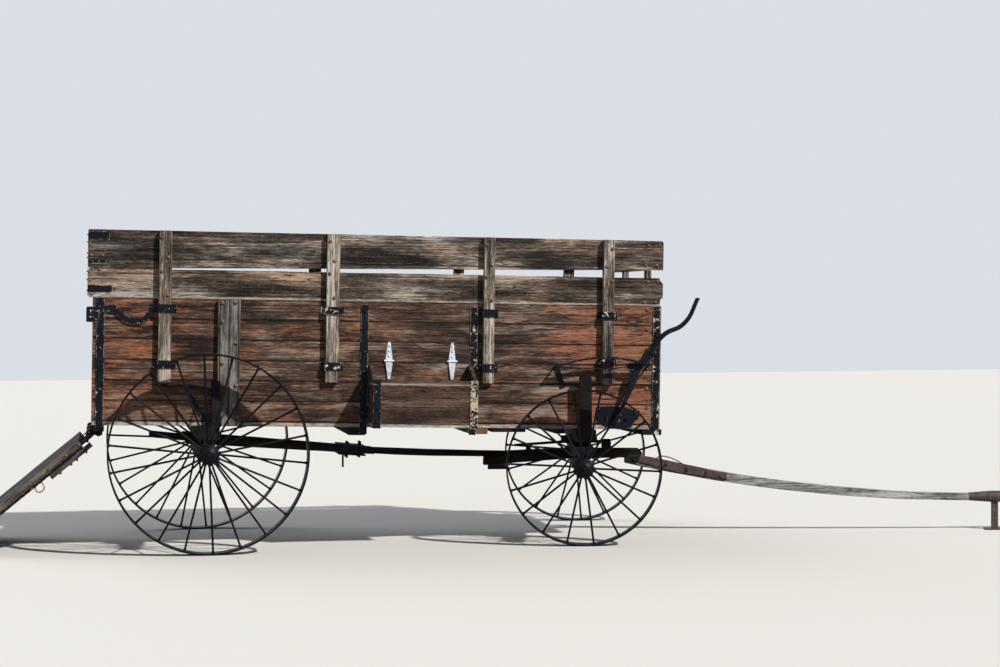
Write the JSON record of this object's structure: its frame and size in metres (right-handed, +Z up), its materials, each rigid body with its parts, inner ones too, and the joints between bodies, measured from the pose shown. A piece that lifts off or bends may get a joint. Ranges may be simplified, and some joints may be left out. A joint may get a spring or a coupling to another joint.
{
  "type": "horse-drawn box wagon",
  "caption": "Horse-drawn plank box wagon with high side boards, spoked steel wheels, steering front gear, tongue on a prop, let-down tailgate, side box and brake lever.",
  "frame": {"origin": "centre of the outline at floor level", "axes": "+X forward along the wagon, +Y to its left, +Z up"},
  "size_m": [6.5246, 1.86, 1.8168],
  "materials": {
    "painted_boards": "weathered planks with worn red paint",
    "bare_boards": "bare weathered boards",
    "stake_wood": "bare weathered stakes",
    "dark_timber": "old black paint on squared timber",
    "grey_pole": "silver grey weathered pole",
    "painted_iron": "peeling black paint over pale primer",
    "wheel_iron": "worn black paint with rust",
    "rusty_iron": "brown rust",
    "zinc_hinge": "dull galvanised"
  },
  "bodies": {
    "wagon_box": {"box_side_left": "painted_boards", "box_side_right": "painted_boards", "brake_bow": "painted_iron", "brake_plate": "painted_iron", "cross_sills": "dark_timber", "floor_boards": "bare_boards", "front_bolster": "dark_timber", "front_end_planks": "painted_boards", "front_end_posts": "stake_wood", "front_rack_boards": "bare_boards", "hound_clip": "painted_iron", "king_pin": "painted_iron", "latch_bar_left": "painted_iron", "latch_bar_right": "painted_iron", "lid_hinges": "zinc_hinge", "rack_boards_left": "bare_boards", "rack_boards_right": "bare_boards", "reach": "dark_timber", "rear_axle": "dark_timber", "rear_bolster": "dark_timber", "rear_cleats": "stake_wood", "rear_hounds": "dark_timber", "side_box": "painted_boards", "side_box_irons": "painted_iron", "side_irons_left": "painted_iron", "side_irons_right": "painted_iron", "side_stakes_left": "stake_wood", "side_stakes_right": "stake_wood", "stake_staples_left": "painted_iron", "stake_staples_right": "painted_iron", "tailgate_rod": "painted_iron"},
    "front_gear": {"front_axle": "dark_timber", "front_hounds": "dark_timber", "hound_ears": "painted_iron", "sand_board": "dark_timber", "sway_bars": "dark_timber"},
    "tongue": {"tongue_cap": "rusty_iron", "tongue_plates": "rusty_iron", "tongue_pole": "grey_pole", "tongue_prop": "rusty_iron"},
    "tailgate": {"tailgate_boards": "bare_boards", "tailgate_irons": "painted_iron", "tailgate_rails": "stake_wood"},
    "brake_lever": {"brake_lever": "painted_iron"},
    "wheel_rear_right": {"tyre_rear_right": "wheel_iron", "hub_rear_right": "wheel_iron", "spokes_rear_right": "wheel_iron"},
    "wheel_rear_left": {"tyre_rear_left": "wheel_iron", "hub_rear_left": "wheel_iron", "spokes_rear_left": "wheel_iron"},
    "wheel_front_right": {"tyre_front_right": "wheel_iron", "hub_front_right": "wheel_iron", "spokes_front_right": "wheel_iron"},
    "wheel_front_left": {"tyre_front_left": "wheel_iron", "hub_front_left": "wheel_iron", "spokes_front_left": "wheel_iron"}
  },
  "joints": [
    {"name": "steering", "type": "hinge", "parent": "wagon_box", "child": "front_gear", "pos_m": [0.44577, 0, 0.445], "axis": [0, 0, 1], "range_deg": [-7, 26]},
    {"name": "tongue_lift", "type": "hinge", "parent": "front_gear", "child": "tongue", "pos_m": [0.77618, -0.05529, 0.446], "axis": [-0.165, -0.9863, 0], "range_deg": [0, 25]},
    {"name": "wheel_rear_right_spin", "type": "hinge", "parent": "wagon_box", "child": "wheel_rear_right", "pos_m": [-1.81123, -0.78, 0.559], "axis": [0, 1, 0], "continuous": true},
    {"name": "wheel_rear_left_spin", "type": "hinge", "parent": "wagon_box", "child": "wheel_rear_left", "pos_m": [-1.81123, 0.78, 0.559], "axis": [0, 1, 0], "continuous": true},
    {"name": "wheel_front_right_spin", "type": "hinge", "parent": "front_gear", "child": "wheel_front_right", "pos_m": [0.31704, -0.7693, 0.445], "axis": [0.165, 0.9863, 0], "continuous": true},
    {"name": "wheel_front_left_spin", "type": "hinge", "parent": "front_gear", "child": "wheel_front_left", "pos_m": [0.57451, 0.7693, 0.445], "axis": [0.165, 0.9863, 0], "continuous": true},
    {"name": "tailgate_hinge", "type": "hinge", "parent": "wagon_box", "child": "tailgate", "pos_m": [-2.46388, 0, 0.66983], "axis": [0, 1, 0], "range_deg": [0, 130.18]},
    {"name": "brake_lever_pivot", "type": "hinge", "parent": "wagon_box", "child": "brake_lever", "pos_m": [0.54174, -0.628, 0.70716], "axis": [0, -1, 0], "range_deg": [0, 35]}
  ]
}
